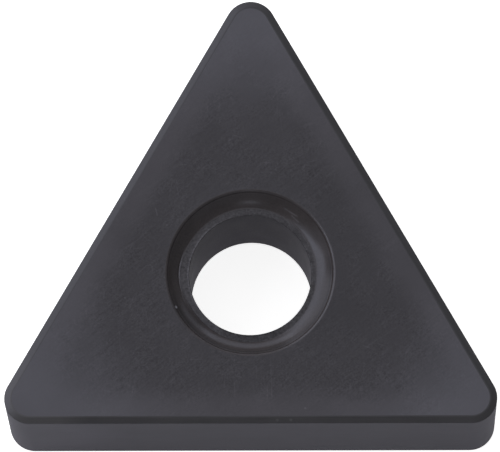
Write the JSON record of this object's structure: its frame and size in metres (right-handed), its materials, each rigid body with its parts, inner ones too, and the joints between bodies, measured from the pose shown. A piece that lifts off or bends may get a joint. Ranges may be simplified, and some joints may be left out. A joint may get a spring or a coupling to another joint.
{
  "type": "ceramic turning insert",
  "caption": "Triangular black ceramic turning insert with rounded noses, a narrow ground land along its cutting edges and a central clamping hole with recessed mouths.",
  "frame": {"origin": "centre of the lower seat face, on the axis of the bore", "axes": "+Z along the bore, out of the upper seat face; -Y square out of one side wall, with a nose pointing to +Y; +X along that side wall"},
  "size_m": [0.0154, 0.0135, 0.0048],
  "materials": {
    "ceramic": "fine ground, satin"
  },
  "bodies": {
    "root": {"insert": "ceramic"}
  },
  "joints": []
}
